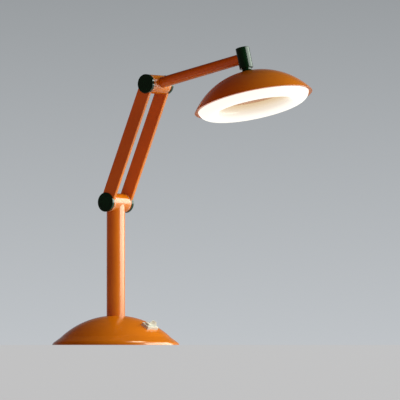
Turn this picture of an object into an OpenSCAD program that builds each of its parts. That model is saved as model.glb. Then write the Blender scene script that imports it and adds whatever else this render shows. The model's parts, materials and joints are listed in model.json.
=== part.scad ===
// Work lamp with a domed base, a pair of flat swing bars, a straight arm and a domed head.
// Millimetres, +Z up. The origin is the middle of the base, on the table.
// The arms swing in the XZ plane and the head hangs towards +X.

/* [Base] */
// Diameter over the rounded lip at the foot of the dome
base_d = 194; // [180:1:220]
// Height of the dome's crown above the table
base_h = 51; // [46:1:60]
// Sheet thickness of the dome
base_wall = 1.5; // [1:0.1:2]
// Radius of the rounded lip at the foot of the dome
lip_r = 8.5; // [7:0.1:10]
// Width of the skirt that flares from the dome into the lip
skirt_w = 13; // [11:0.5:16]
// Thickness of the felt pad underneath
foot_t = 1.5; // [1:0.1:3]
// How far the felt pad stands in from the plate's edge
foot_margin = 6; // [4:0.5:14]
// Thickness of the bottom plate
plate_t = 2; // [1.5:0.1:3]
// Diameter of the cast weight
ballast_d = 146; // [120:1:150]
// Height of the cast weight
ballast_h = 14; // [12:1:16]

/* [Post] */
// Outside diameter of the post
post_d = 28; // [24:0.5:28]
// Wall of the post
post_wall = 2; // [1.5:0.1:3]
// Height of the lower pivot above the table
pivot_z = 222; // [180:1:280]

/* [Joints] */
// Outside diameter of both pivot barrels
barrel_d = 28.6; // [28.4:0.1:31]
// Length of both pivot barrels
barrel_len = 35; // [28:1:44]
// Wall of both pivot barrels
barrel_wall = 2.5; // [2:0.1:3.5]
// Diameter of the pivot pins
pin_d = 8; // [7:0.5:10]
// Diameter of the round end caps
cap_d = 29.2; // [28.6:0.2:34]
// Thickness of the round end caps
cap_t = 4.8; // [3.5:0.1:7]
// Length of the bush inside a barrel
bush_len = 9; // [6:1:11]
// Thickness of a bush's flange
flange_t = 0.8; // [0.6:0.1:1.5]

/* [Swing bars] */
// Distance between the two pivots
bar_len = 193; // [150:1:240]
// Width of a flat bar
bar_w = 22.3; // [18:0.1:25]
// Thickness of a flat bar
bar_t = 5.6; // [4:0.1:8]
// Thickness left at a bar's round eyes, where the caps are let in
eye_t = 2.6; // [2:0.1:3.5]
// Lean of the bars from upright, towards the head
bar_lean = 23.5; // [10:0.5:40]

/* [Arm] */
// Distance from the upper pivot to the head's axis
arm_len = 173; // [150:1:210]
// Outside diameter of the arm tube
arm_d = 16.5; // [14:0.5:18]
// Wall of the arm tube
arm_wall = 1.5; // [1:0.1:2]
// Rise of the arm above level
arm_rise = 11.3; // [0:0.1:20]

/* [Head] */
// Diameter of the swivel hub
hub_d = 21; // [20:0.5:26]
// Length of the swivel hub
hub_len = 32; // [31:1:40]
// Diameter of the stem that turns in the hub
stem_d = 8; // [6:0.5:9]
// Distance from the arm's axis down to the plane of the shade's rim
rim_drop = 69.2; // [68:0.1:80]
// Tilt of the head, with the rim lower on the post's side
head_tilt = 14.7; // [5:0.1:20]
// Diameter of the shade at its rim
shade_d = 181; // [165:1:190]
// Height of the shade from rim to crown
shade_h = 47.5; // [45:0.5:50]
// Sheet thickness of the shade
shade_wall = 1.5; // [1:0.1:2]
// Width of the flat rim around the light
rim_w = 5.5; // [3:0.1:7]

/* [Light] */
// Diameter of the hole in the middle of the ring of light
light_hole_d = 108; // [90:1:116]
// Depth that the ring of light bulges below the rim
light_bulge = 11; // [6:0.1:12]
// Wall of the opal diffuser
diffuser_wall = 1.8; // [1.2:0.1:2.2]
// Wall of the spun tray behind the light
tray_wall = 1.2; // [0.8:0.1:1.6]
// Height of the tray's flat ring above the rim
tray_z = 10; // [9:0.5:11]
// Number of light-emitting chips around the ring
chip_count = 36; // [18:1:48]

/* [Switch] */
// Distance of the switch in from the base's edge
switch_edge = 32; // [29:1:41]
// Length of the rocker
rocker_len = 18; // [16:1:20]
// Width of the rocker
rocker_w = 7.6; // [7:0.2:10]
// Height of the rocker's ends above its pivot, set level
rocker_rise = 6.5; // [5.5:0.1:7]
// Swing of the rocker either side of level
rocker_swing = 11; // [8:1:12]

/* [Hidden] */
$fn = 96;
eps = 0.01;
slip = 0.04;
running = 0.05;
side_gap = 0.2;
seat_gap = 0.3;
over = 2;
cut_len = 20;

// Dome of the base: a spherical cap that stands on the bottom plate
plate_z = foot_t;
shell_z = plate_z + plate_t;
base_r = base_d / 2;
dome_in = 3.5;
dome_r = base_r - dome_in;
dome_h = base_h - shell_z - dome_in;
dome_rho = (dome_r * dome_r + dome_h * dome_h) / (2 * dome_h);
dome_cz = base_h - dome_rho;
function dome_at(r, rho) = dome_cz + sqrt(rho * rho - r * r);
lip_turn = 62;
lip_steps = 10;
skirt_r = base_r - skirt_w;
lip_outline = concat(
    [[skirt_r, shell_z]],
    [for (i = [0 : lip_steps])
        let (a = lip_turn * i / lip_steps)
        [base_r - lip_r + lip_r * cos(a), shell_z + lip_r * sin(a)]],
    [[skirt_r, dome_at(skirt_r, dome_rho)]]
);

// Parts clamped up the middle of the base by the hollow tie stud
tie_d = 10;
tie_bore = 6;
tie_nut_d = 17;
tie_nut_t = 6;
tie_washer_d = 22;
tie_washer_t = 1.5;
tie_end = 0.8;
nut_well_d = 25;
nut_room = 0.5;
ballast_top = shell_z + ballast_h;
well_top = shell_z + tie_end + tie_nut_t + tie_washer_t + nut_room;
spacer_d = 20;
spacer_top = dome_at(spacer_d / 2, dome_rho - base_wall);
plug_len = 20;
plug_top = base_h + plug_len;
plate_in = 1.5;
plate_r = base_r - plate_in;
screw_d = 4;
screw_head_d = 7;
screw_len = 9;
screw_count = 3;
screw_turn = 60;
screw_ring_share = 0.36;
screw_ring_r = ballast_d * screw_ring_share;
sink_share = 0.8;
screw_head_t = plate_t * sink_share;

// Mains driver, standing on the weight behind the spacer tube
driver_size = [36, 30, 12];
driver_clear = 4;
driver_x = -(spacer_d / 2 + driver_size[0] / 2 + driver_clear);

// Cord inlet, square to the dome at its back
inlet_bore = 6;
inlet_neck_d = 9;
inlet_flange_d = 14;
inlet_angle = -asin((skirt_r - inlet_flange_d / 2) / dome_rho);
inlet_flange_t = 2;
inlet_tail = 4;

// Rocker switch, across the dome at its front
switch_reach = base_r - switch_edge;
switch_angle = asin(switch_reach / dome_rho);
frame_rim = 1.6;
frame_wall = 1.2;
frame_top = 4;
frame_depth = 7;
rocker_gap = 0.7;
rocker_cheek = 0.3;
trunnion_d = 3;
trunnion_z = 2;
trunnion_share = 0.7;
trunnion_len = frame_wall * trunnion_share;
rocker_belly = 4.2;
rocker_waist = 2.4;
rocker_tip = 0.6;
rocker_face = 2;
rocker_crown = 0.2;
belly_share = 0.5;
switch_body_h = 4.5;
switch_relief = 1;
pocket = [rocker_len + 2 * rocker_gap, rocker_w + 2 * rocker_cheek];
frame_body = [pocket[0] + 2 * frame_wall, pocket[1] + 2 * frame_wall];
frame_outer = [frame_body[0] + 2 * frame_rim, frame_body[1] + 2 * frame_rim];
switch_body_in = 2;
switch_body_size = [rocker_len - 2 * switch_body_in, frame_body[1], switch_body_h];
switch_low = frame_depth + switch_body_h;

// Pivot stack along Y: barrel, bush flange, running gap, bar, cap
bar_y = barrel_len / 2 + flange_t + side_gap;
cap_y = bar_y + eye_t;
eye_step = 0.2;
eye_d = barrel_d - 2 * eye_step;
barrel_bore = barrel_d - 2 * barrel_wall;
flange_step = 0.3;
flange_d = barrel_d - 2 * flange_step;
stud_d = 5;
stud_len = 8;
stud_room = 1;
cap_edge = 0.7;
pin_short = 0.2;
pin_len = 2 * (cap_y - pin_short);
upper = [bar_len * sin(bar_lean), 0, pivot_z + bar_len * cos(bar_lean)];

// Head frame: its origin is where the arm's axis meets the hub's axis, +Z along the hub
head = upper + arm_len * [cos(arm_rise), 0, sin(arm_rise)];
socket_web = 1.8;
socket_depth = hub_d / 2 - stem_d / 2 - socket_web;
arm_end = arm_len - hub_d / 2 + socket_depth;
clip_clear = 1.5;
clip_z = arm_d / 2 + clip_clear;
clip_t = 1.2;
clip_lip = 2.25;
clip_d = stem_d + 2 * clip_lip;
groove_cut = 0.8;
groove_d = stem_d - 2 * groove_cut;
stem_top = clip_z + clip_t + clip_clear;
plug_t = 3;
well_clear = 0.75;
hub_well_d = clip_d + 2 * well_clear;
collar_t = 2.5;
collar_step = 3.5;
collar_d = hub_d - 2 * collar_step;
foot_d = 18;
stem_thread_d = 10;
stem_bore = 4;
rim_z = -rim_drop;
shade_r = shade_d / 2;
shade_rho = (shade_r * shade_r + shade_h * shade_h) / (2 * shade_h);
shade_cz = shade_h - shade_rho;
function shade_at(r, rho) = shade_cz + sqrt(rho * rho - r * r);
function shade_in(z) = sqrt(pow(shade_rho - shade_wall, 2) - pow(z - shade_cz, 2));
rim_t = 1.5;
rim_inner = shade_r - rim_w;

// Parts clamped under the shade's crown by the stem nut, in heights above the rim
stem_washer_d = 18;
stem_washer_t = 1.2;
washer_z = shade_at(stem_washer_d / 2, shade_rho - shade_wall) - stem_washer_t;
tray_top = washer_z;
tray_hub_r = 15;
stem_nut_d = 17;
stem_nut_t = 5;
stem_nut_z = tray_top - tray_wall - stem_nut_t;
thread_end = 1;
stem_end_z = stem_nut_z - thread_end;
collar_z = rim_drop - hub_len / 2 - side_gap - collar_t;
seat_steps = 6;

// Ring of light
light_in = light_hole_d / 2;
light_edge_z = 2.4;
light_out = min(rim_inner - seat_gap, shade_in(light_edge_z + diffuser_wall) - seat_gap);
tray_clear = 1;
tray_out = shade_in(tray_z + tray_wall) - tray_clear;
tray_throat = light_in + diffuser_wall;
rib_r = tray_out - diffuser_wall - tray_clear;
board_t = 1.6;
board_margin = 2.5;
board_in = tray_throat + board_margin;
board_out = rib_r - board_margin;
chip_size = 3;
chip_t = 0.8;
chip_r = (board_in + board_out) / 2;
profile_steps = 24;

orange = "#d9701e";
green = "#12301f";

module at_lower() { translate([0, 0, pivot_z]) children(); }
module at_upper() { translate(upper) children(); }
module along_arm() { at_upper() rotate([0, -arm_rise, 0]) children(); }
module at_head() { translate(head) rotate([0, -head_tilt, 0]) children(); }
module at_rim() { at_head() translate([0, 0, rim_z]) children(); }
module on_dome(angle) {
    translate([0, 0, dome_cz]) rotate([0, angle, 0]) translate([0, 0, dome_rho]) children();
}
module on_switch() { on_dome(switch_angle) rotate([0, 0, 90]) children(); }
module dome_ball(rho) { translate([0, 0, dome_cz]) sphere(rho, $fn = 200); }

// Cylinder along Y, centred
module y_rod(d, len) { rotate([90, 0, 0]) cylinder(d = d, h = len, center = true); }

module ring(d_out, d_in, h) {
    difference() {
        cylinder(d = d_out, h = h);
        translate([0, 0, -over]) cylinder(d = d_in, h = h + 2 * over);
    }
}

module screw_spots() {
    for (i = [0 : screw_count - 1])
        rotate([0, 0, screw_turn + i * 360 / screw_count]) translate([screw_ring_r, 0, 0]) children();
}

module foot_pad() {
    color("#202020") cylinder(r = plate_r - foot_margin, h = foot_t);
}

module base_plate() {
    color("#3a3a3a") difference() {
        translate([0, 0, plate_z]) cylinder(r = plate_r, h = plate_t);
        screw_spots() {
            translate([0, 0, plate_z - eps])
                cylinder(d1 = screw_head_d + 2 * slip, d2 = screw_d + 2 * slip, h = screw_head_t);
            translate([0, 0, plate_z]) cylinder(d = screw_d + 2 * slip, h = plate_t + over);
        }
    }
}

module plate_screws() {
    color("silver") screw_spots() {
        translate([0, 0, plate_z]) cylinder(d1 = screw_head_d, d2 = screw_d, h = screw_head_t);
        translate([0, 0, plate_z]) cylinder(d = screw_d, h = screw_len);
    }
}

module ballast() {
    color("#4a4a4a") difference() {
        translate([0, 0, shell_z]) cylinder(d = ballast_d, h = ballast_h);
        translate([0, 0, shell_z - over]) cylinder(d = nut_well_d, h = well_top - shell_z + over);
        translate([0, 0, shell_z]) cylinder(d = tie_d + 2 * slip, h = ballast_h + over);
        screw_spots() translate([0, 0, shell_z - over])
            cylinder(d = screw_d + 2 * slip, h = screw_len + over);
        on_switch() frame_block(frame_outer, -switch_low - switch_relief, 0);
    }
}

module tie_washer() {
    color("silver") translate([0, 0, well_top - tie_washer_t])
        ring(tie_washer_d, tie_d + 2 * slip, tie_washer_t);
}

module tie_nut() {
    color("silver") translate([0, 0, well_top - tie_washer_t - tie_nut_t]) difference() {
        cylinder(d = tie_nut_d, h = tie_nut_t, $fn = 6);
        translate([0, 0, -over]) cylinder(d = tie_d + 2 * slip, h = tie_nut_t + 2 * over);
    }
}

module tie_stud() {
    color("silver") translate([0, 0, shell_z + tie_end])
        ring(tie_d, tie_bore, plug_top - shell_z - tie_end);
}

module spacer_tube() {
    color("silver") translate([0, 0, ballast_top])
        ring(spacer_d, tie_d + 2 * slip, spacer_top - ballast_top);
}

module base_shell() {
    color(orange) difference() {
        union() {
            intersection() {
                dome_ball(dome_rho);
                translate([0, 0, shell_z]) cylinder(r = base_r, h = base_h);
            }
            rotate_extrude() polygon(lip_outline);
        }
        dome_ball(dome_rho - base_wall);
        translate([0, 0, dome_cz + dome_rho / 2])
            cylinder(d = tie_d + 2 * slip, h = dome_rho);
        on_switch() cube([frame_body[0] + 2 * slip, frame_body[1] + 2 * slip, cut_len], center = true);
        on_dome(inlet_angle) cylinder(d = inlet_neck_d + 2 * slip, h = cut_len, center = true);
    }
}

module led_driver() {
    color("#e6e6e0") translate([driver_x, 0, ballast_top + driver_size[2] / 2])
        cube(driver_size, center = true);
}

module cord_bush() {
    color("#1a1a1a") difference() {
        union() {
            difference() {
                on_dome(inlet_angle) translate([0, 0, -over])
                    cylinder(d = inlet_flange_d, h = inlet_flange_t + over);
                dome_ball(dome_rho);
            }
            on_dome(inlet_angle) translate([0, 0, -inlet_tail])
                cylinder(d = inlet_neck_d, h = inlet_tail + inlet_flange_t);
        }
        on_dome(inlet_angle) cylinder(d = inlet_bore, h = 2 * cut_len, center = true);
    }
}

module switch_body() {
    color("#f2f2ee") on_switch() translate([0, 0, -frame_depth - switch_body_h / 2])
        cube(switch_body_size, center = true);
}

module frame_block(size, low, high) {
    translate([-size[0] / 2, -size[1] / 2, low]) cube([size[0], size[1], high - low]);
}

module switch_frame() {
    color("#f4f4f0") difference() {
        union() {
            difference() {
                on_switch() frame_block(frame_outer, -over, frame_top);
                dome_ball(dome_rho);
            }
            on_switch() frame_block(frame_body, -frame_depth, frame_top);
        }
        on_switch() frame_block(pocket, -frame_depth - over, frame_top + over);
        on_switch() translate([0, 0, trunnion_z])
            y_rod(trunnion_d + 2 * running, pocket[1] + 2 * trunnion_len);
    }
}

module rocker() {
    half = rocker_len / 2;
    color("#fafaf7") on_switch() translate([0, 0, trunnion_z]) rotate([0, -rocker_swing, 0]) {
        rotate([90, 0, 0]) linear_extrude(rocker_w, center = true) polygon([
            [-half, 0], [-half + rocker_tip, rocker_rise], [-half + rocker_face, rocker_rise + rocker_crown],
            [0, rocker_rise - rocker_waist], [half - rocker_face, rocker_rise + rocker_crown],
            [half - rocker_tip, rocker_rise], [half, 0], [half * belly_share, -rocker_belly],
            [-half * belly_share, -rocker_belly]
        ]);
        y_rod(trunnion_d, pocket[1] + 2 * trunnion_len - 2 * running);
    }
}

module post_plug() {
    color("silver") difference() {
        translate([0, 0, base_h - over]) cylinder(d = post_d - 2 * post_wall - 2 * slip, h = plug_len + over);
        dome_ball(dome_rho);
        translate([0, 0, base_h - 2 * over]) cylinder(d = tie_d + 2 * slip, h = plug_len + 3 * over);
    }
}

module post() {
    color(orange) difference() {
        translate([0, 0, base_h - 2 * over]) cylinder(d = post_d, h = pivot_z - base_h + 2 * over);
        translate([0, 0, base_h - 3 * over]) cylinder(d = post_d - 2 * post_wall, h = pivot_z);
        dome_ball(dome_rho);
        at_lower() y_rod(barrel_d, post_d + 2 * over);
    }
}

module barrel() {
    difference() {
        y_rod(barrel_d, barrel_len);
        y_rod(barrel_bore, barrel_len + 2 * over);
    }
}

module bush() {
    rotate([90, 0, 0]) difference() {
        union() {
            translate([0, 0, barrel_len / 2 - bush_len]) cylinder(d = barrel_bore - 2 * slip, h = bush_len);
            translate([0, 0, barrel_len / 2]) cylinder(d = flange_d, h = flange_t);
        }
        cylinder(d = pin_d + 2 * running, h = barrel_len);
    }
}

module bush_pair() {
    bush();
    mirror([0, 1, 0]) bush();
}

module pivot_pin() {
    difference() {
        y_rod(pin_d, pin_len);
        for (side = [-1, 1])
            translate([0, side * pin_len / 2, 0]) y_rod(stud_d + 2 * slip, 2 * (stud_len + stud_room));
    }
}

// Cap on the near side, with the stud that screws into the pin
module cap() {
    rotate([90, 0, 0]) rotate_extrude() polygon([
        [0, cap_y - stud_len], [stud_d / 2, cap_y - stud_len], [stud_d / 2, cap_y], [cap_d / 2, cap_y],
        [cap_d / 2, cap_y + cap_t - cap_edge], [cap_d / 2 - cap_edge, cap_y + cap_t], [0, cap_y + cap_t]
    ]);
}

// Bar on the near side, running up from the pivot, with a round eye at each end that the cap is let into
module flat_bar() {
    translate([0, -bar_y, 0]) rotate([90, 0, 0]) difference() {
        union() {
            translate([-bar_w / 2, 0, 0]) cube([bar_w, bar_len, bar_t]);
            for (z = [0, bar_len]) translate([0, z, 0]) cylinder(d = eye_d, h = eye_t);
        }
        for (z = [0, bar_len]) translate([0, z, 0]) {
            translate([0, 0, eye_t]) cylinder(d = cap_d + 2 * slip, h = bar_t);
            translate([0, 0, -over]) cylinder(d = pin_d + 2 * slip, h = bar_t + 2 * over);
        }
    }
}

module lower_barrel() { color(orange) at_lower() barrel(); }
module lower_bushes() { color("#e8e4d8") at_lower() bush_pair(); }
module lower_pin() { color("silver") at_lower() pivot_pin(); }
module near_lower_cap() { color(green) at_lower() cap(); }
module far_lower_cap() { color(green) at_lower() mirror([0, 1, 0]) cap(); }
module near_bar() { color(orange) at_lower() rotate([0, bar_lean, 0]) flat_bar(); }
module far_bar() { color(orange) at_lower() rotate([0, bar_lean, 0]) mirror([0, 1, 0]) flat_bar(); }
module upper_pin() { color("silver") at_upper() pivot_pin(); }
module near_upper_cap() { color(green) at_upper() cap(); }
module far_upper_cap() { color(green) at_upper() mirror([0, 1, 0]) cap(); }
module upper_barrel() { color(orange) at_upper() barrel(); }
module upper_bushes() { color("#e8e4d8") at_upper() bush_pair(); }

module arm_tube() {
    color(orange) along_arm() difference() {
        rotate([0, 90, 0]) cylinder(d = arm_d, h = arm_end);
        translate([-over, 0, 0]) rotate([0, 90, 0]) cylinder(d = arm_d - 2 * arm_wall, h = arm_end + 2 * over);
        y_rod(barrel_d, arm_d + 2 * over);
    }
}

module head_hub() {
    color(green) difference() {
        at_head() translate([0, 0, -hub_len / 2]) cylinder(d = hub_d, h = hub_len);
        at_head() translate([0, 0, -hub_len]) cylinder(d = stem_d + 2 * running, h = 2 * hub_len);
        at_head() translate([0, 0, clip_z - side_gap]) cylinder(d = hub_well_d, h = hub_len);
        along_arm() translate([arm_end - hub_d, 0, 0]) rotate([0, 90, 0])
            cylinder(d = arm_d + 2 * slip, h = hub_d);
    }
}

module hub_plug() {
    color(green) at_head() translate([0, 0, hub_len / 2 - plug_t])
        cylinder(d = hub_well_d - 2 * slip, h = plug_t);
}

// Outline of the stem from its threaded end up to its top, in heights above the rim
stem_outline = concat(
    [[stem_bore / 2, stem_end_z], [stem_thread_d / 2, stem_end_z]],
    [for (i = [0 : seat_steps])
        let (r = (stem_thread_d + (foot_d - stem_thread_d) * i / seat_steps) / 2)
        [r, shade_at(r, shade_rho) + slip]],
    [
        [collar_d / 2, collar_z], [collar_d / 2, collar_z + collar_t],
        [stem_d / 2, collar_z + collar_t], [stem_d / 2, rim_drop + clip_z],
        [groove_d / 2, rim_drop + clip_z], [groove_d / 2, rim_drop + clip_z + clip_t],
        [stem_d / 2, rim_drop + clip_z + clip_t], [stem_d / 2, rim_drop + stem_top],
        [stem_bore / 2, rim_drop + stem_top]
    ]
);

module swivel_stem() {
    color("#2b2b2b") at_rim() rotate_extrude() polygon(stem_outline);
}

module stem_clip() {
    color("silver") at_head() translate([0, 0, clip_z]) ring(clip_d, groove_d, clip_t);
}

module shade() {
    color(orange) at_rim() difference() {
        union() {
            difference() {
                intersection() {
                    translate([0, 0, shade_cz]) sphere(shade_rho, $fn = 200);
                    cylinder(r = shade_r, h = shade_h + over);
                }
                translate([0, 0, shade_cz]) sphere(shade_rho - shade_wall, $fn = 200);
            }
            intersection() {
                translate([0, 0, shade_cz]) sphere(shade_rho, $fn = 200);
                ring(2 * shade_r, 2 * rim_inner, rim_t);
            }
        }
        cylinder(d = stem_thread_d + 2 * slip, h = shade_h + over);
    }
}

module stem_washer() {
    color("silver") at_rim() translate([0, 0, washer_z])
        ring(stem_washer_d, stem_thread_d + 2 * slip, stem_washer_t);
}

module led_tray() {
    color("#f3e7d2") at_rim() rotate_extrude() polygon([
        [stem_thread_d / 2 + slip, tray_top - tray_wall], [tray_hub_r, tray_top - tray_wall],
        [tray_throat, tray_z], [tray_out, tray_z], [tray_out, tray_z + tray_wall],
        [tray_throat + tray_wall / 2, tray_z + tray_wall], [tray_hub_r + tray_wall / 2, tray_top],
        [stem_thread_d / 2 + slip, tray_top]
    ]);
}

module stem_nut() {
    color("silver") at_rim() translate([0, 0, stem_nut_z]) difference() {
        cylinder(d = stem_nut_d, h = stem_nut_t, $fn = 6);
        translate([0, 0, -over]) cylinder(d = stem_thread_d + 2 * slip, h = stem_nut_t + 2 * over);
    }
}

module led_board() {
    color("#f8f8f8") at_rim() translate([0, 0, tray_z - board_t])
        ring(2 * board_out, 2 * board_in, board_t);
}

module led_chips() {
    color("#fff2c0") at_rim() for (i = [0 : chip_count - 1])
        rotate([0, 0, i * 360 / chip_count])
            translate([chip_r - chip_size / 2, -chip_size / 2, tray_z - board_t - chip_t])
                cube([chip_size, chip_size, chip_t]);
}

// Section of the ring of light: half an ellipse that hangs from its two edges, less a wall
light_mid = (light_in + light_out) / 2;
light_half = (light_out - light_in) / 2;
light_depth = light_edge_z + light_bulge;
function under(s, wall) = light_edge_z - (light_depth - wall) * sqrt(1 - s * s);
function light_x(s, wall) = light_mid + s * (light_half - wall);
shares = [for (i = [0 : profile_steps]) -cos(180 * i / profile_steps)];
rib_z = under((rib_r + diffuser_wall / 2 - light_mid) / light_half, diffuser_wall / 2);

module diffuser() {
    color("#fffaf0") at_rim() {
        rotate_extrude() polygon(concat(
            [for (s = shares) [light_x(s, 0), under(s, 0)]],
            [for (i = [profile_steps : -1 : 0])
                [light_x(shares[i], diffuser_wall), under(shares[i], diffuser_wall)]]
        ));
        translate([0, 0, light_edge_z])
            ring(2 * (light_in + diffuser_wall), 2 * light_in, tray_z - light_edge_z);
        translate([0, 0, rib_z]) ring(2 * (rib_r + diffuser_wall), 2 * rib_r, tray_z - rib_z);
    }
}

foot_pad();
base_plate();
plate_screws();
ballast();
tie_washer();
tie_nut();
tie_stud();
spacer_tube();
base_shell();
led_driver();
cord_bush();
switch_body();
switch_frame();
rocker();
post_plug();
post();
lower_barrel();
lower_bushes();
lower_pin();
near_lower_cap();
far_lower_cap();
near_bar();
far_bar();
upper_pin();
near_upper_cap();
far_upper_cap();
upper_barrel();
upper_bushes();
arm_tube();
head_hub();
hub_plug();
swivel_stem();
stem_clip();
shade();
stem_washer();
led_tray();
stem_nut();
led_board();
led_chips();
diffuser();
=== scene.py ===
# %% [markdown]
# # An orange work lamp, dressed on its frame
# The frame holds the lamp's solids at their real size: a domed base, a post, two swing bars, an arm and a
# head. This lesson adds the camera, the light and the finishes, and models again the pieces whose soft
# edges catch the light. Everything is in metres, in the frame's own axes.

# %% Load the frame
import json
import math

import bpy
from mathutils import Matrix, Vector

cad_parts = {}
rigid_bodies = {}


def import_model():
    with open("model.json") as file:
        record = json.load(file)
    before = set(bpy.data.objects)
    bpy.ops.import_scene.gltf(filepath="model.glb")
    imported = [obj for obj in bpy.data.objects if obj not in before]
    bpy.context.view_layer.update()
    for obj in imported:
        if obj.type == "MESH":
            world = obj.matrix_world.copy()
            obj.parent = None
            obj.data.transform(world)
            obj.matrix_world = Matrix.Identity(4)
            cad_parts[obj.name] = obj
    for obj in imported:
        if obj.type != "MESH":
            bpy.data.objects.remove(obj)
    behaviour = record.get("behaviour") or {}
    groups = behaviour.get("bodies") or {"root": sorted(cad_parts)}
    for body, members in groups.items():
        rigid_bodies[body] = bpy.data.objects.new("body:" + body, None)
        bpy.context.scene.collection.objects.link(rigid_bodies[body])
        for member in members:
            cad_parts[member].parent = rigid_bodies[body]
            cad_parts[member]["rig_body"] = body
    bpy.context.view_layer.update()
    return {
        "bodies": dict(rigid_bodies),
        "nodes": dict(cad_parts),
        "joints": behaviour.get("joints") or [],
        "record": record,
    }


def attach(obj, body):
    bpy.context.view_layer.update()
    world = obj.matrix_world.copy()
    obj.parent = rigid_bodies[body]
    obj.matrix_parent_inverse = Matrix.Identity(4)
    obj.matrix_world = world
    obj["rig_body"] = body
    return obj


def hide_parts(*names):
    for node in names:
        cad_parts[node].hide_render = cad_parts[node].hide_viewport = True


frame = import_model()
nodes = frame["nodes"]
joints = {joint["name"]: joint for joint in frame["joints"]}
mm = 0.001
print("nodes:", len(nodes), "joints:", sorted(joints))

# %% [markdown]
# ## Camera
# The photo looks slightly up at the lamp with a long lens: the two pairs of caps are the same size, and the
# rim of the shade shows its underside. A short lens close by would make the near cap larger, so the camera
# stands far away instead. It is moved sideways and up until the lamp's foot is at the same spot of the square
# picture as in the photo.

# %% Camera
VIEW_TURN = math.radians(38.05)
VIEW_RISE = math.radians(2.5)
PICTURE_PX = 400
FOCAL_PX = 12000
MM_PER_PX = 1.515
FOOT_PX = (115.8, 349.1)
SENSOR_MM = 36
FARTHEST_M = 50

right = Vector((math.cos(VIEW_TURN), math.sin(VIEW_TURN), 0))
level = Vector((-math.sin(VIEW_TURN), math.cos(VIEW_TURN), 0))
look = level * math.cos(VIEW_RISE) + Vector((0, 0, math.sin(VIEW_RISE)))
up = right.cross(look)

camera_data = bpy.data.cameras.new("photo_camera")
camera_data.sensor_width = SENSOR_MM
camera_data.lens = SENSOR_MM * FOCAL_PX / PICTURE_PX
camera_data.clip_end = FARTHEST_M
camera = bpy.data.objects.new("photo_camera", camera_data)
bpy.context.scene.collection.objects.link(camera)
px = MM_PER_PX * mm
across = (PICTURE_PX / 2 - FOOT_PX[0]) * px
rise = (FOOT_PX[1] - PICTURE_PX / 2) * px
camera.matrix_world = Matrix((right, up, -look)).transposed().to_4x4()
camera.location = right * across + up * rise - look * FOCAL_PX * px
bpy.context.scene.camera = camera
print("camera stands", round(camera.location.length, 2), "m away")

# %% [markdown]
# ## Nodes and colours
# Every finish below is a small tree of nodes. Adding a node always takes the same steps, so one function does
# them: make it, set its values by name, link its inputs. Colours are written as sRGB hex codes, as a paint
# chart gives them, and Blender works in linear light, so a second function converts them.


# %% Nodes and colours
def hex_linear(code):
    """An sRGB hex colour as linear red, green, blue and alpha."""
    parts = [int(code[i:i + 2], 16) / 255 for i in (1, 3, 5)]
    linear = [p / 12.92 if p <= 0.04045 else ((p + 0.055) / 1.055) ** 2.4 for p in parts]
    return (*linear, 1.0)


def add_node(tree, kind, settings=None, links=None):
    """Adds one node, sets its inputs or properties by name, and links its inputs to other outputs."""
    made = tree.nodes.new(kind)
    for name, value in (settings or {}).items():
        if name in made.inputs:
            made.inputs[name].default_value = value
        else:
            setattr(made, name, value)
    for name, output in (links or {}).items():
        tree.links.new(output, made.inputs[name])
    return made


def new_material(name):
    """A material and its empty tree."""
    material = bpy.data.materials.new(name)
    material.use_nodes = True
    material.node_tree.nodes.clear()
    return material, material.node_tree


print("mid grey in linear light:", round(hex_linear("#808080")[0], 3))

# %% [markdown]
# ## Plinth
# The lamp stands on a pale plinth. The camera looks up a little, so it sees the plinth's front and not its
# top. A plain cube is enough for that. Its front faces away from the key light and would look dull, so Light
# Path adds a pale glow for camera rays alone: most of it on the sides, and less on the top, which keeps the
# shadow of the lamp.

# %% Plinth
PLINTH_FRONT = 0.20
PLINTH_DEPTH = 1.6
PLINTH_WIDTH = 3.2
PLINTH_HEIGHT = 0.5
SIDE_GLOW = 0.85
TOP_GLOW = 0.55
FACES_UP = 0.5

bpy.ops.object.select_all(action="DESELECT")
bpy.ops.mesh.primitive_cube_add(size=1)
plinth = bpy.context.object
plinth.name = "plinth"
plinth.scale = (PLINTH_WIDTH, PLINTH_DEPTH, PLINTH_HEIGHT)
plinth.rotation_euler = (0, 0, VIEW_TURN)
plinth.location = level * (PLINTH_DEPTH / 2 - PLINTH_FRONT) - Vector((0, 0, PLINTH_HEIGHT / 2))

# Matt emulsion paint: no highlight, only a soft change from light to shade.
floor_paint, tree = new_material("matt pale floor paint")
path = add_node(tree, "ShaderNodeLightPath")
shape = add_node(tree, "ShaderNodeNewGeometry")
facing = add_node(tree, "ShaderNodeSeparateXYZ", links={"Vector": shape.outputs["Normal"]})
glow_here = add_node(tree, "ShaderNodeMapRange",
                     {"From Max": FACES_UP, "To Min": SIDE_GLOW, "To Max": TOP_GLOW},
                     {"Value": facing.outputs["Z"]})
share = add_node(tree, "ShaderNodeMath", {"operation": "MULTIPLY"},
                 {0: path.outputs["Is Camera Ray"], 1: glow_here.outputs[0]})
paint = add_node(tree, "ShaderNodeBsdfPrincipled", {"Base Color": hex_linear("#c4cbcf"), "Roughness": 0.8})
glow = add_node(tree, "ShaderNodeEmission", {"Color": hex_linear("#c9cccd"), "Strength": 1.0})
mixed = add_node(tree, "ShaderNodeMixShader",
                 links={0: share.outputs[0], 1: paint.outputs[0], 2: glow.outputs[0]})
add_node(tree, "ShaderNodeOutputMaterial", links={"Surface": mixed.outputs[0]})
plinth.data.materials.append(floor_paint)
print("plinth:", PLINTH_WIDTH, "by", PLINTH_DEPTH, "m")

# %% [markdown]
# ## Key light
# The photo has one long highlight down the right of the post and a bright band on the hub, and the left is
# in shade. A single wide, tall area lamp at the right and a little behind gives both: a tall lamp is mirrored
# by the upright post as well as by the slanting hub. Many small lamps would leave many small highlights.

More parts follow.
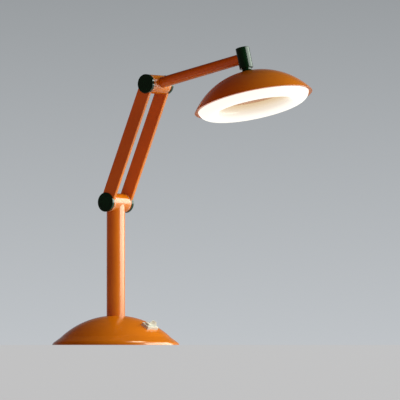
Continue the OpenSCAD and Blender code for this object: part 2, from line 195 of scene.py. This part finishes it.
# %% Key light
KEY_TURN = math.radians(40)
KEY_RISE = math.radians(16)
KEY_AWAY = 1.6
KEY_WIDTH = 2.4
KEY_HEIGHT = 1.15
KEY_WATTS = 47
KEY_AIM = Vector((0.1, 0, 0.25))

key_data = bpy.data.lights.new("key", "AREA")
key_data.shape = "RECTANGLE"
key_data.size = KEY_WIDTH
key_data.size_y = KEY_HEIGHT
key_data.energy = KEY_WATTS
key_data.color = hex_linear("#f5fff3")[:3]
key = bpy.data.objects.new("key", key_data)
bpy.context.scene.collection.objects.link(key)
key_line = Vector((math.cos(KEY_RISE) * math.cos(KEY_TURN),
                   math.cos(KEY_RISE) * math.sin(KEY_TURN),
                   math.sin(KEY_RISE)))
key.location = KEY_AIM + key_line * KEY_AWAY
key.rotation_euler = key_line.to_track_quat("Z", "Y").to_euler()
print("key light at", [round(c, 2) for c in key.location])

# %% [markdown]
# ## Studio backdrop
# The world is the studio. Its backdrop is a grey that pales towards the foot of the picture. Real studios
# are darker overhead and behind the camera, and enamel mirrors that, so mirror rays see the backdrop fall off
# there and the faces towards the camera keep their colour. Diffuse rays see a warm room instead, which fills
# the shade side with a reddish tone. Light Path tells these rays apart.

# %% Studio backdrop
BACKDROP_TOP = "#9a9ea1"
BACKDROP_FOOT = "#c5c9cd"
OVERHEAD_FROM, OVERHEAD_TO, OVERHEAD_LEVEL = 0.08, 0.5, 0.1
DARK_TURN = math.radians(-100)
DARK_EDGE, DARK_LEVEL = 0.3, 0.12

world = bpy.data.worlds.new("studio")
bpy.context.scene.world = world
world.use_nodes = True
tree = world.node_tree
tree.nodes.clear()
path = add_node(tree, "ShaderNodeLightPath")
toward = add_node(tree, "ShaderNodeTexCoord").outputs["Generated"]

height = add_node(tree, "ShaderNodeVectorMath", {"operation": "DOT_PRODUCT"}, {0: toward})
height.inputs[1].default_value = up
half_view = PICTURE_PX / 2 / FOCAL_PX
fall = add_node(tree, "ShaderNodeMapRange", {"From Min": -half_view, "From Max": half_view},
                {"Value": height.outputs["Value"]})
greys = add_node(tree, "ShaderNodeMix",
                 {"data_type": "RGBA", "A": hex_linear(BACKDROP_FOOT), "B": hex_linear(BACKDROP_TOP)},
                 {"Factor": fall.outputs[0]})
skyward = add_node(tree, "ShaderNodeSeparateXYZ", links={"Vector": toward})
overhead = add_node(tree, "ShaderNodeMapRange",
                    {"From Min": OVERHEAD_FROM, "From Max": OVERHEAD_TO,
                     "To Min": 1.0, "To Max": OVERHEAD_LEVEL},
                    {"Value": skyward.outputs["Z"]})
front = add_node(tree, "ShaderNodeVectorMath", {"operation": "DOT_PRODUCT"}, {0: toward})
front.inputs[1].default_value = (math.cos(DARK_TURN), math.sin(DARK_TURN), 0)
dark_half = add_node(tree, "ShaderNodeMapRange",
                     {"From Min": -DARK_EDGE, "From Max": DARK_EDGE, "To Min": 1.0, "To Max": DARK_LEVEL},
                     {"Value": front.outputs["Value"]})
fall_off = add_node(tree, "ShaderNodeMath", {"operation": "MULTIPLY"},
                    {0: overhead.outputs[0], 1: dark_half.outputs[0]})
strength = add_node(tree, "ShaderNodeMapRange", {"To Min": 1.0},
                    {"Value": path.outputs["Is Glossy Ray"], "To Max": fall_off.outputs[0]})
backdrop = add_node(tree, "ShaderNodeBackground",
                    links={"Color": greys.outputs["Result"], "Strength": strength.outputs[0]})
print("backdrop from", BACKDROP_FOOT, "at the foot to", BACKDROP_TOP, "at the top")

# %% Warm room for diffuse rays
ROOM_LEVEL = 0.85
ROOM_TINT = "#da9388"

fill = add_node(tree, "ShaderNodeMath", {"operation": "MULTIPLY"}, {0: overhead.outputs[0]})
fill.inputs[1].default_value = ROOM_LEVEL
room = add_node(tree, "ShaderNodeBackground", {"Color": hex_linear(ROOM_TINT)}, {"Strength": fill.outputs[0]})
seen = add_node(tree, "ShaderNodeMath", {"operation": "MAXIMUM"},
                {0: path.outputs["Is Camera Ray"], 1: path.outputs["Is Transmission Ray"]})
seen_or_mirrored = add_node(tree, "ShaderNodeMath", {"operation": "MAXIMUM"},
                            {0: seen.outputs[0], 1: path.outputs["Is Glossy Ray"]})
studio = add_node(tree, "ShaderNodeMixShader",
                  links={0: seen_or_mirrored.outputs[0], 1: room.outputs[0], 2: backdrop.outputs[0]})
add_node(tree, "ShaderNodeOutputWorld", links={"Surface": studio.outputs[0]})
bpy.context.scene.view_settings.view_transform = "Standard"
print("world:", len(tree.nodes), "nodes")

# %% [markdown]
# ## Finishes
# The sheet metal is powder coated, the caps and the hub are gloss enamel, the switch is moulded plastic. All
# of them are a skin whose colour drifts a little, with a fine bump and an uneven gloss, so one function makes
# them from two near shades and two sizes. It reads Object coordinates, which are metres here, so a pattern
# with features of some millimetres takes a scale of 1000 divided by that size.

# %% One skin for painted and moulded pieces
BUMP_DEPTH = 0.05 * mm
NOISE_LOW, NOISE_HIGH = 0.3, 0.7
GLOSS_DRIFT = 0.1


def coated(name, light, dark, roughness, cloud_mm, peel_mm, peel, shine=0.5, metallic=0.0):
    """A skin whose colour drifts over cloud_mm between two shades, with a bump of peel_mm grains."""
    material, tree = new_material(name)
    place = add_node(tree, "ShaderNodeTexCoord").outputs["Object"]
    cloud = add_node(tree, "ShaderNodeTexNoise", {"Scale": 1000 / cloud_mm}, {"Vector": place})
    drift = add_node(tree, "ShaderNodeMapRange", {"From Min": NOISE_LOW, "From Max": NOISE_HIGH},
                     {"Value": cloud.outputs["Fac"]})
    tint = add_node(tree, "ShaderNodeMix",
                    {"data_type": "RGBA", "A": hex_linear(light), "B": hex_linear(dark)},
                    {"Factor": drift.outputs[0]})
    fine = add_node(tree, "ShaderNodeTexNoise", {"Scale": 1000 / peel_mm, "Detail": 3.0}, {"Vector": place})
    bump = add_node(tree, "ShaderNodeBump", {"Strength": peel, "Distance": BUMP_DEPTH},
                    {"Height": fine.outputs["Fac"]})
    gloss = add_node(tree, "ShaderNodeMapRange",
                     {"From Min": NOISE_LOW, "From Max": NOISE_HIGH,
                      "To Min": roughness * (1 - GLOSS_DRIFT), "To Max": roughness * (1 + GLOSS_DRIFT)},
                     {"Value": fine.outputs["Fac"]})
    skin = add_node(tree, "ShaderNodeBsdfPrincipled",
                    {"Metallic": metallic, "Specular IOR Level": shine},
                    {"Base Color": tint.outputs["Result"], "Roughness": gloss.outputs[0],
                     "Normal": bump.outputs[0]})
    add_node(tree, "ShaderNodeOutputMaterial", links={"Surface": skin.outputs[0]})
    return material


finishes = {
    # Powder coat flows to a thick, even skin: long bright highlights with a soft edge, and a faint peel.
    "orange_enamel": coated("orange powder coat on steel", "#dd7e0e", "#d2750b", 0.2, 60, 1.2, 0.06,
                            shine=1.0),
    # Stoved gloss enamel is smoother: it looks almost black but for one sharp band of light.
    "green_enamel": coated("dark green gloss enamel", "#0d341a", "#0a2a14", 0.14, 30, 1.5, 0.15, shine=0.55),
    # Moulded in a lightly etched tool, so white with a broad, mild sheen.
    "white_switch": coated("white moulded polycarbonate", "#dcded6", "#d3d5cc", 0.32, 10, 0.8, 0.2),
    # Matt stove enamel spreads light evenly and has no highlight of its own.
    "white_reflector": coated("matt white stove enamel", "#f1e6d2", "#eadcc4", 0.55, 30, 1.0, 0.3),
    # Turned and plated: fine tool marks blur what the metal mirrors.
    "bright_steel": coated("zinc plated turned steel", "#b9babd", "#a7a8ab", 0.3, 6, 0.4, 0.3, metallic=1.0),
    # A sand casting, left as it came: dark, dull and coarse.
    "cast_weight": coated("grey cast iron", "#4a4a4b", "#3b3b3c", 0.7, 8, 1.0, 0.9, metallic=0.6),
    # Sprayed matt paint hides the sheet's mill marks.
    "black_plate": coated("matt black paint on steel", "#2a2a2b", "#222223", 0.6, 20, 0.8, 0.4),
    # Pressed fibres swallow nearly all light. They are drawn coarser than real ones, to show at all.
    "felt": coated("pressed black felt", "#1f1f20", "#151516", 0.95, 4, 0.6, 1.0),
    # Moulded nylon has a waxy, low sheen, dyed black for the cord bush.
    "nylon": coated("black moulded nylon", "#1d1d1e", "#171718", 0.45, 8, 0.6, 0.3),
    # Undyed, the same plastic is a milky cream.
    "natural_nylon": coated("undyed moulded nylon", "#e6e1d3", "#dcd6c6", 0.45, 8, 0.6, 0.3),
    # A plain etched moulding, pale and even.
    "driver_case": coated("pale moulded driver case", "#dcdcd6", "#d2d2cb", 0.5, 12, 0.8, 0.3),
    # Cast gel over the chips: yellow, smooth and a little glossy.
    "led_phosphor": coated("yellow phosphor gel", "#f0d470", "#e6c659", 0.3, 2, 0.5, 0.2),
}
print("finishes:", sorted(finishes))

# %% [markdown]
# ## The lit diffuser
# Opal acrylic scatters the light of the chips behind it, so the ring glows almost evenly. The wall that turns
# up into the hole has no chips behind it, so its glow is painted light. It fades to a cream that is painted
# shade for the dimmer light deep in the hole. A texture could paint that fade, but two distances do it
# exactly: how far a point lies from the head's axis, and how high along it. A dot product and a cross product
# with the axis give them from the Object coordinates.

# %% Lit opal acrylic
RIM_DROP = 69.2
FADE_OUTER, FADE_INNER = 63, 55
FADE_LOW, FADE_HIGH = -9, 8
# Painted light: the hole's wall glows though no chips lie behind it, and the cream that it fades to is
# painted shade.
RING_GLOW, HOLE_PAINTED_GLOW, GLOW_SETTLES = 1.0, 0.93, 0.3
RING_COLOUR, HOLE_PAINTED_GLOW_TINT, OPAL_UNLIT = "#fffcf3", "#dcc6a2", "#6b675f"
OPAL_CLOUD, OPAL_SMOOTH, OPAL_DULL = 25, 0.25, 0.32
head = Vector(joints["head_swivel"]["pos_m"])
head_axis = Vector(joints["head_swivel"]["axis"]).normalized()

# Smooth opal sheet: a soft sheen over the ring's glow, with a painted glow and a cream painted shade in the
# hole.
opal, tree = new_material("lit opal acrylic")
place = add_node(tree, "ShaderNodeTexCoord").outputs["Object"]
from_rim = add_node(tree, "ShaderNodeVectorMath", {"operation": "SUBTRACT"}, {0: place})
from_rim.inputs[1].default_value = head - head_axis * RIM_DROP * mm
along = add_node(tree, "ShaderNodeVectorMath", {"operation": "DOT_PRODUCT"}, {0: from_rim.outputs["Vector"]})
along.inputs[1].default_value = head_axis
beside = add_node(tree, "ShaderNodeVectorMath", {"operation": "CROSS_PRODUCT"},
                  {0: from_rim.outputs["Vector"]})
beside.inputs[1].default_value = head_axis
radius = add_node(tree, "ShaderNodeVectorMath", {"operation": "LENGTH"}, {0: beside.outputs["Vector"]})
inward = add_node(tree, "ShaderNodeMapRange", {"From Min": FADE_OUTER * mm, "From Max": FADE_INNER * mm},
                  {"Value": radius.outputs["Value"]})
upward = add_node(tree, "ShaderNodeMapRange", {"From Min": FADE_LOW * mm, "From Max": FADE_HIGH * mm},
                  {"Value": along.outputs["Value"]})
fade = add_node(tree, "ShaderNodeMath", {"operation": "MULTIPLY"},
                {0: inward.outputs[0], 1: upward.outputs[0]})
# The cream tint and the weaker glow in the hole are painted shade and painted light, not the opal's own
# colour.
painted_glow_tint = add_node(tree, "ShaderNodeMix",
                  {"data_type": "RGBA", "A": hex_linear(RING_COLOUR), "B": hex_linear(HOLE_PAINTED_GLOW_TINT)},
                  {"Factor": fade.outputs[0]})
glow = add_node(tree, "ShaderNodeMapRange",
                {"From Max": GLOW_SETTLES, "To Min": RING_GLOW, "To Max": HOLE_PAINTED_GLOW},
                {"Value": fade.outputs[0]})
cloud = add_node(tree, "ShaderNodeTexNoise", {"Scale": 1000 / OPAL_CLOUD}, {"Vector": place})
gloss = add_node(tree, "ShaderNodeMapRange",
                 {"From Min": NOISE_LOW, "From Max": NOISE_HIGH, "To Min": OPAL_SMOOTH, "To Max": OPAL_DULL},
                 {"Value": cloud.outputs["Fac"]})
sheet = add_node(tree, "ShaderNodeBsdfPrincipled", {"Base Color": hex_linear(OPAL_UNLIT)},
                 {"Roughness": gloss.outputs[0], "Emission Color": painted_glow_tint.outputs["Result"],
                  "Emission Strength": glow.outputs[0]})
add_node(tree, "ShaderNodeOutputMaterial", links={"Surface": sheet.outputs[0]})
finishes["opal_acrylic"] = opal
print("opal fades over", FADE_OUTER - FADE_INNER, "mm")

# %% [markdown]
# ## Light that the ring throws down
# The ring lights the base and the switch as well. Its own glow is only as strong as the picture needs, too
# weak for that, so a soft disc just under the ring carries this light. The camera doesn't see the disc, and
# it is a child of the head's body, so it follows the swivel.

# %% Light under the ring, and a finish for every node
SPILL_ACROSS = 0.16
SPILL_DROP = 14
SPILL_WATTS = 0.8
spill_data = bpy.data.lights.new("ring_spill", "AREA")
spill_data.shape = "DISK"
spill_data.size = SPILL_ACROSS
spill_data.energy = SPILL_WATTS
spill_data.color = hex_linear("#fff2d6")[:3]
spill = bpy.data.objects.new("ring_spill", spill_data)
bpy.context.scene.collection.objects.link(spill)
spill_turn = head_axis.to_track_quat("Z", "Y").to_matrix().to_4x4()
spill.matrix_world = Matrix.Translation(head - head_axis * (RIM_DROP + SPILL_DROP) * mm) @ spill_turn
spill.visible_camera = False
spill.parent = frame["bodies"]["head"]

for part in frame["record"]["subparts"]:
    mesh = nodes[part["node"]].data
    mesh.materials.clear()
    mesh.materials.append(finishes[part["material_slot"]])
print("every node has its finish")

# %% [markdown]
# ## Pieces with soft edges
# Real sheet and bar has no razor edge: a small round catches a line of light, and the eye reads it as metal.
# The solids have sharp edges, so the pieces that show most are modelled again here at the same size. Each
# starts as a primitive, is shaped in edit mode, has its edges rounded by a Bevel, and then takes the place of
# its solid on the same moving body. A Weighted Normal keeps the flat faces flat beside the rounds.

# %% Helpers: start a piece, turn one, pick its parts
lower = Vector(joints["lower_pivot"]["pos_m"])
upper = Vector(joints["upper_pivot"]["pos_m"])
NEAR, FAR = Vector((0, -1, 0)), Vector((0, 1, 0))
ALONG_X = Vector((1, 0, 0))
WELD = 0.005 * mm


def begin(add, **settings):
    """Adds one primitive with nothing else selected, and opens it in edit mode."""
    bpy.ops.object.select_all(action="DESELECT")
    add(**settings)
    bpy.ops.object.transform_apply(location=True, rotation=True, scale=True)
    bpy.ops.object.mode_set(mode="EDIT")
    bpy.ops.mesh.select_all(action="SELECT")
    return bpy.context.object


def turned(outline, around=72):
    """A closed turned shape: a circle is extruded from point to point of a (radius, height) outline in mm."""
    radius, height = outline[0]
    piece = begin(bpy.ops.mesh.primitive_circle_add, vertices=around, radius=radius * mm,
                  location=(0, 0, height * mm))
    for (r0, z0), (r1, z1) in zip(outline, outline[1:] + outline[:1]):
        bpy.ops.mesh.extrude_edges_move(TRANSFORM_OT_translate={"value": (0, 0, (z1 - z0) * mm)})
        bpy.ops.transform.resize(value=(r1 / r0, r1 / r0, 1), center_override=(0, 0, 0))
    bpy.ops.mesh.select_all(action="SELECT")
    bpy.ops.mesh.remove_doubles(threshold=WELD)
    bpy.ops.mesh.normals_make_consistent(inside=False)
    bpy.ops.object.mode_set(mode="OBJECT")
    return piece


def pick(piece, kind, test):
    """In edit mode, selects only the faces, edges or points that pass a test of their place and direction."""
    bpy.ops.mesh.select_mode(type=kind)
    bpy.ops.mesh.select_all(action="DESELECT")
    bpy.ops.object.mode_set(mode="OBJECT")
    mesh = piece.data
    if kind == "FACE":
        for face in mesh.polygons:
            face.select = test(face.center / mm, face.normal)
    elif kind == "EDGE":
        for edge in mesh.edges:
            a, b = (mesh.vertices[i].co / mm for i in edge.vertices)
            edge.select = test((a + b) / 2, b - a)
    else:
        for point in mesh.vertices:
            point.select = test(point.co / mm, point.normal)
    bpy.ops.object.mode_set(mode="EDIT")


print("pivots are", round((upper - lower).length / mm, 1), "mm apart")

# %% Helpers: choose a piece, stand it, settle it
BEVEL_STEPS = 3
BEVEL_FROM = math.radians(40)
SMOOTH_TO = math.radians(38)


def choose(piece):
    """Selects one piece alone and makes it the active one."""
    bpy.ops.object.select_all(action="DESELECT")
    piece.select_set(True)
    bpy.context.view_layer.objects.active = piece


def stand(place, axis, across):
    """Where a piece goes that was modelled upright: its Z along axis and its X along across."""
    z = axis.normalized()
    y = z.cross(across).normalized()
    return Matrix.Translation(place) @ Matrix((y.cross(z), y, z)).transposed().to_4x4()


def settle(piece, name, place, slot, node, soft_mm=0):
    """Puts a piece in its place, rounds its sharp edges, paints it and gives it the body of its solid."""
    choose(piece)
    piece.matrix_world = place
    bpy.ops.object.transform_apply(location=True, rotation=True, scale=True)
    if soft_mm:
        bpy.ops.object.modifier_add(type="BEVEL")
        bevel = piece.modifiers[-1]
        bevel.width = soft_mm * mm
        bevel.segments = BEVEL_STEPS
        bevel.limit_method = "ANGLE"
        bevel.angle_limit = BEVEL_FROM
        bpy.ops.object.modifier_apply(modifier=bevel.name)
    bpy.ops.object.shade_smooth_by_angle(angle=SMOOTH_TO)
    bpy.ops.object.modifier_add(type="WEIGHTED_NORMAL")
    piece.modifiers[-1].keep_sharp = True
    bpy.ops.object.modifier_apply(modifier=piece.modifiers[-1].name)
    piece.name = piece.data.name = name
    piece.data.materials.clear()
    piece.data.materials.append(finishes[slot])
    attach(piece, nodes[node]["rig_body"])
    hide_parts(node)
    print(name, "has", len(piece.data.polygons), "faces")


# %% [markdown]
# ## End caps
# Four green caps screw into the ends of the pins. A cap is a turned disc with a stud. A cylinder with a
# second one joined to it would do, but an outline turned round its axis gives disc and stud in one closed
# skin. It is modelled once and copied, each copy with a mesh of its own.

# %% End caps
CAP_SEAT_Y, CAP_RADIUS, CAP_THICK = 21.1, 14.6, 4.8
STUD_RADIUS, STUD_LONG = 2.5, 8
TIP = 0.001
cap = turned([(TIP, -STUD_LONG), (STUD_RADIUS, -STUD_LONG), (STUD_RADIUS, 0), (CAP_RADIUS, 0),
              (CAP_RADIUS, CAP_THICK), (TIP, CAP_THICK)])
cap_spots = (("near_lower_cap", lower, NEAR), ("far_lower_cap", lower, FAR),
             ("near_upper_cap", upper, NEAR), ("far_upper_cap", upper, FAR))
caps = [cap]
while len(caps) < len(cap_spots):
    choose(cap)
    bpy.ops.object.duplicate(linked=False)
    caps.append(bpy.context.object)
for made, (node, pivot, side) in zip(caps, cap_spots):
    settle(made, "soft_" + node, stand(pivot + side * CAP_SEAT_Y * mm, side, ALONG_X),
           "green_enamel", node, soft_mm=0.5)

# %% [markdown]
# ## Swing bars
# A bar is a flat with a thinner round eye at each end, so that the caps can be let in. The flat is a cube
# whose long edges are rounded in edit mode. A Boolean union adds the eyes, and a second Boolean cuts
# the round seats of the caps and the holes of the pins. Each tool is turned once and copied to the other end.
# The eyes get a small chamfer in their outline, because a Bevel on Boolean edges can leave torn corners. A
# Boolean is also unsure where two faces lie in one plane. So the flat starts clear of the pin's hole, and an
# eye is a hair thinner than the step that it lies in.

# %% Swing bars
BAR_LENGTH, BAR_WIDTH, BAR_THICK, BAR_FACE_Y, BAR_ROUND = 193, 22.3, 5.6, 18.5, 1.0
EYE_RADIUS, EYE_THICK, EYE_EDGE = 14.1, 2.6, 0.4
PIN_HOLE, SLIP, OVER = 4.04, 0.04, 1
FLAT_START, HAIR = 5.3, 0.02
bar = begin(bpy.ops.mesh.primitive_cube_add, size=mm, location=(0, BAR_LENGTH / 2 * mm, BAR_THICK / 2 * mm),
            scale=(BAR_WIDTH, BAR_LENGTH - 2 * FLAT_START, BAR_THICK))
pick(bar, "EDGE", lambda middle, run: abs(run.y) > 1)
bpy.ops.mesh.bevel(offset=BAR_ROUND * mm, segments=BEVEL_STEPS)
bpy.ops.object.mode_set(mode="OBJECT")

eye_top = EYE_THICK - HAIR
eye = [(TIP, HAIR), (EYE_RADIUS - EYE_EDGE, HAIR), (EYE_RADIUS, EYE_EDGE), (EYE_RADIUS, eye_top - EYE_EDGE),
       (EYE_RADIUS - EYE_EDGE, eye_top), (TIP, eye_top)]
seat = [(TIP, -OVER), (PIN_HOLE, -OVER), (PIN_HOLE, EYE_THICK), (CAP_RADIUS + SLIP, EYE_THICK),
        (CAP_RADIUS + SLIP, BAR_THICK + OVER), (TIP, BAR_THICK + OVER)]
for outline, operation in ((eye, "UNION"), (seat, "DIFFERENCE")):
    tool = turned(outline, around=96)
    bpy.ops.object.mode_set(mode="EDIT")
    bpy.ops.mesh.select_all(action="SELECT")
    bpy.ops.mesh.duplicate_move(TRANSFORM_OT_translate={"value": (0, BAR_LENGTH * mm, 0)})
    bpy.ops.object.mode_set(mode="OBJECT")
    choose(bar)
    bpy.ops.object.modifier_add(type="BOOLEAN")
    bar.modifiers[-1].object = tool
    bar.modifiers[-1].operation = operation
    bpy.ops.object.modifier_apply(modifier=bar.modifiers[-1].name)
    bpy.data.objects.remove(tool)
print("bar with eyes and seats has", len(bar.data.vertices), "points")

# %% Clean the bar, copy it and settle both
bpy.ops.object.mode_set(mode="EDIT")
bpy.ops.mesh.select_all(action="SELECT")
bpy.ops.mesh.remove_doubles(threshold=WELD)
bpy.ops.mesh.dissolve_degenerate(threshold=WELD)
bpy.ops.mesh.normals_make_consistent(inside=False)
bpy.ops.object.mode_set(mode="OBJECT")
bpy.ops.object.duplicate(linked=False)
twin = bpy.context.object
bar_line = (upper - lower).normalized()
for made, node, side in ((bar, "near_bar", NEAR), (twin, "far_bar", FAR)):
    settle(made, "soft_" + node, stand(lower + side * BAR_FACE_Y * mm, side, bar_line.cross(side)),
           "orange_enamel", node)

# %% [markdown]
# ## Pivot barrels
# Each barrel is a short tube across the lamp, welded to the post or to the arm. Cutting one cylinder out of
# another would make it, but a closed outline turned round gives both walls at once, with no Boolean to clean.

# %% Pivot barrels
BARREL_BORE, BARREL_RADIUS, BARREL_HALF = 11.8, 14.3, 17.5
for node, pivot in (("lower_barrel", lower), ("upper_barrel", upper)):
    tube = turned([(BARREL_BORE, -BARREL_HALF), (BARREL_RADIUS, -BARREL_HALF),
                   (BARREL_RADIUS, BARREL_HALF), (BARREL_BORE, BARREL_HALF)])
    settle(tube, "soft_" + node, stand(pivot, NEAR, ALONG_X), "orange_enamel", node, soft_mm=0.5)

# %% [markdown]
# ## Swivel hub
# The hub is a green cylinder with a bore for the stem and a wider well at the top for its clip. Its outline
# steps in where the well ends. The plug closes the well and sits a hair lower, so a thin seam shows round it.

# %% Swivel hub
HUB_BORE, HUB_RADIUS, HUB_HALF = 4.05, 10.5, 16
WELL_RADIUS, WELL_FLOOR = 7, 9.55
PLUG_RADIUS, PLUG_FOOT, PLUG_TOP = 6.96, 13, 15.8
head_place = stand(head, head_axis, ALONG_X)
hub = turned([(HUB_BORE, -HUB_HALF), (HUB_RADIUS, -HUB_HALF), (HUB_RADIUS, HUB_HALF),
              (WELL_RADIUS, HUB_HALF), (WELL_RADIUS, WELL_FLOOR), (HUB_BORE, WELL_FLOOR)])
settle(hub, "soft_head_hub", head_place, "green_enamel", "head_hub", soft_mm=0.6)
plug = turned([(TIP, PLUG_FOOT), (PLUG_RADIUS, PLUG_FOOT), (PLUG_RADIUS, PLUG_TOP), (TIP, PLUG_TOP)])
settle(plug, "soft_hub_plug", head_place, "green_enamel", "hub_plug", soft_mm=0.4)

# %% [markdown]
# ## Shade
# The shade is spun from sheet: a shallow cap of a sphere with a turned-in rim. A sphere cut in two would need
# its rim added, so the outline follows the outer ball down to the rim, turns in, and goes back up the inner
# ball. The Bevel rounds the rim.

# %% Shade
SHADE_HIGH, SHADE_WALL, RIM_RADIUS, RIM_INNER, CROWN_HOLE = 47.5, 1.5, 90.5, 85, 5.04
SHADE_BALL = (RIM_RADIUS ** 2 + SHADE_HIGH ** 2) / (2 * SHADE_HIGH)
ball_z = SHADE_HIGH - SHADE_BALL
inner_ball = SHADE_BALL - SHADE_WALL
rim_place = head_place @ Matrix.Translation((0, 0, -RIM_DROP * mm))


def ball_arc(ball, first, last, steps=28):
    """Points on a ball of the shade, from one angle off its crown to another."""
    angles = [first + (last - first) * i / steps for i in range(steps + 1)]
    return [(ball * math.sin(a), ball_z + ball * math.cos(a)) for a in angles]


dome = ball_arc(SHADE_BALL, math.asin(CROWN_HOLE / SHADE_BALL), math.asin(RIM_RADIUS / SHADE_BALL))
lining = ball_arc(inner_ball, math.acos((SHADE_WALL - ball_z) / inner_ball),
                  math.asin(CROWN_HOLE / inner_ball))
shade = turned(dome + [(RIM_INNER, 0), (RIM_INNER, SHADE_WALL)] + lining, around=144)
settle(shade, "soft_shade", rim_place, "orange_enamel", "shade", soft_mm=0.45)

# %% [markdown]
# ## Ring of light
# The diffuser is a blown ring: half an ellipse in section, open above, with a wall that turns up into the
# hole. A torus would be too round and closed above, so the outline runs along the outside of the section,
# then back along the inside.

# %% Ring of light
LIGHT_IN, LIGHT_OUT, LIGHT_EDGE_Z, LIGHT_BULGE, LIGHT_WALL, TRAY_Z = 54, 84.7, 2.4, 11, 1.8, 10


def half_ellipse(wall, steps=28):
    """The ring's section from its inner to its outer edge, a wall's thickness in from the outside."""
    middle = (LIGHT_IN + LIGHT_OUT) / 2
    half = (LIGHT_OUT - LIGHT_IN) / 2 - wall
    deep = LIGHT_EDGE_Z + LIGHT_BULGE - wall
    turns = [math.pi * i / steps for i in range(steps + 1)]
    return [(middle - half * math.cos(t), LIGHT_EDGE_Z - deep * math.sin(t)) for t in turns]


ring = turned([(LIGHT_IN, TRAY_Z)] + half_ellipse(0) + half_ellipse(LIGHT_WALL)[::-1]
              + [(LIGHT_IN + LIGHT_WALL, TRAY_Z)], around=144)
settle(ring, "blown_diffuser", rim_place, "opal_acrylic", "diffuser")

# %% [markdown]
# ## Switch frame
# The frame is a moulded block with a slot through it. A Boolean could cut the slot, but insets keep the walls
# even all round: one on the top, two with an extrusion between them below, and a bridge between the inner
# faces opens the slot.

# %% Switch frame
FRAME_LONG, FRAME_WIDE, FRAME_RIM, FRAME_WALL = 25, 13.8, 1.6, 1.2
FRAME_TOP, FRAME_SEAT, FRAME_FOOT = 2, -3.2, -9
LEVEL, CENTRED = 0.9, 0.01
press_axis = Vector(joints["rocker_press"]["axis"])
switch_place = stand(Vector(joints["rocker_press"]["pos_m"]), FAR.cross(press_axis), FAR)

frame_block = begin(bpy.ops.mesh.primitive_cube_add, size=mm,
                    location=(0, 0, (FRAME_TOP + FRAME_SEAT) / 2 * mm),
                    scale=(FRAME_LONG, FRAME_WIDE, FRAME_TOP - FRAME_SEAT))
pick(frame_block, "FACE", lambda middle, normal: normal.z > LEVEL)
bpy.ops.mesh.inset(thickness=(FRAME_RIM + FRAME_WALL) * mm)
pick(frame_block, "FACE", lambda middle, normal: normal.z < -LEVEL)
bpy.ops.mesh.inset(thickness=FRAME_RIM * mm)
bpy.ops.mesh.extrude_region_move(TRANSFORM_OT_translate={"value": (0, 0, (FRAME_FOOT - FRAME_SEAT) * mm)})
bpy.ops.mesh.inset(thickness=FRAME_WALL * mm)
pick(frame_block, "FACE", lambda middle, normal: abs(normal.z) > LEVEL and middle.xy.length < CENTRED
     and (middle.z > FRAME_TOP - 1 or middle.z < FRAME_FOOT + 1))
bpy.ops.mesh.bridge_edge_loops()
bpy.ops.object.mode_set(mode="OBJECT")
settle(frame_block, "soft_switch_frame", switch_place, "white_switch", "switch_frame", soft_mm=0.5)

# %% [markdown]
# ## Rocker
# The rocker is a moulded key with a hollow top for the finger and a rounded underside that clears the slot.
# Sculpting would be hard to repeat, so a cube is cut into columns along its length. The points of each column
# are then lowered at the top and lifted below by a rule. A small cylinder is its pivot, and the whole key is
# tipped to the side that is pressed in.

# %% Rocker
ROCKER_HALF, ROCKER_WIDE, ROCKER_TOP, ROCKER_BELLY = 9, 7.6, 6.7, 4.2
ROCKER_WAIST, HOLLOW_SHARE, BELLY_FLAT = 2.6, 0.8, 0.5
ROCKER_CUTS, ROCKER_SWING = 9, 11
PIVOT_RADIUS, PIVOT_LONG = 1.5, 9.78
SAME_COLUMN = 0.1
rocker = begin(bpy.ops.mesh.primitive_cube_add, size=mm,
               location=(0, 0, (ROCKER_TOP - ROCKER_BELLY) / 2 * mm),
               scale=(2 * ROCKER_HALF, ROCKER_WIDE, ROCKER_TOP + ROCKER_BELLY))
pick(rocker, "EDGE", lambda middle, run: abs(run.x) > 1)
bpy.ops.mesh.subdivide(number_cuts=ROCKER_CUTS)
hollow_half = ROCKER_HALF * HOLLOW_SHARE
for column in range(ROCKER_CUTS + 2):
    x = ROCKER_HALF * (2 * column / (ROCKER_CUTS + 1) - 1)
    if abs(x) < hollow_half:
        drop = -ROCKER_WAIST * (1 - (x / hollow_half) ** 2)
        pick(rocker, "VERT", lambda middle, normal: abs(middle.x - x) < SAME_COLUMN and middle.z > 0)
        bpy.ops.transform.translate(value=(0, 0, drop * mm))
    lift = max(0, (abs(x) / ROCKER_HALF - BELLY_FLAT) / (1 - BELLY_FLAT) * ROCKER_BELLY)
    if lift:
        pick(rocker, "VERT", lambda middle, normal: abs(middle.x - x) < SAME_COLUMN and middle.z < 0)
        bpy.ops.transform.translate(value=(0, 0, lift * mm))
bpy.ops.mesh.primitive_cylinder_add(radius=PIVOT_RADIUS * mm, depth=PIVOT_LONG * mm,
                                    rotation=(math.pi / 2, 0, 0))
bpy.ops.object.mode_set(mode="OBJECT")
tipped = switch_place @ Matrix.Rotation(math.radians(-ROCKER_SWING), 4, "Y")
settle(rocker, "soft_rocker", tipped, "white_switch", "rocker", soft_mm=0.45)
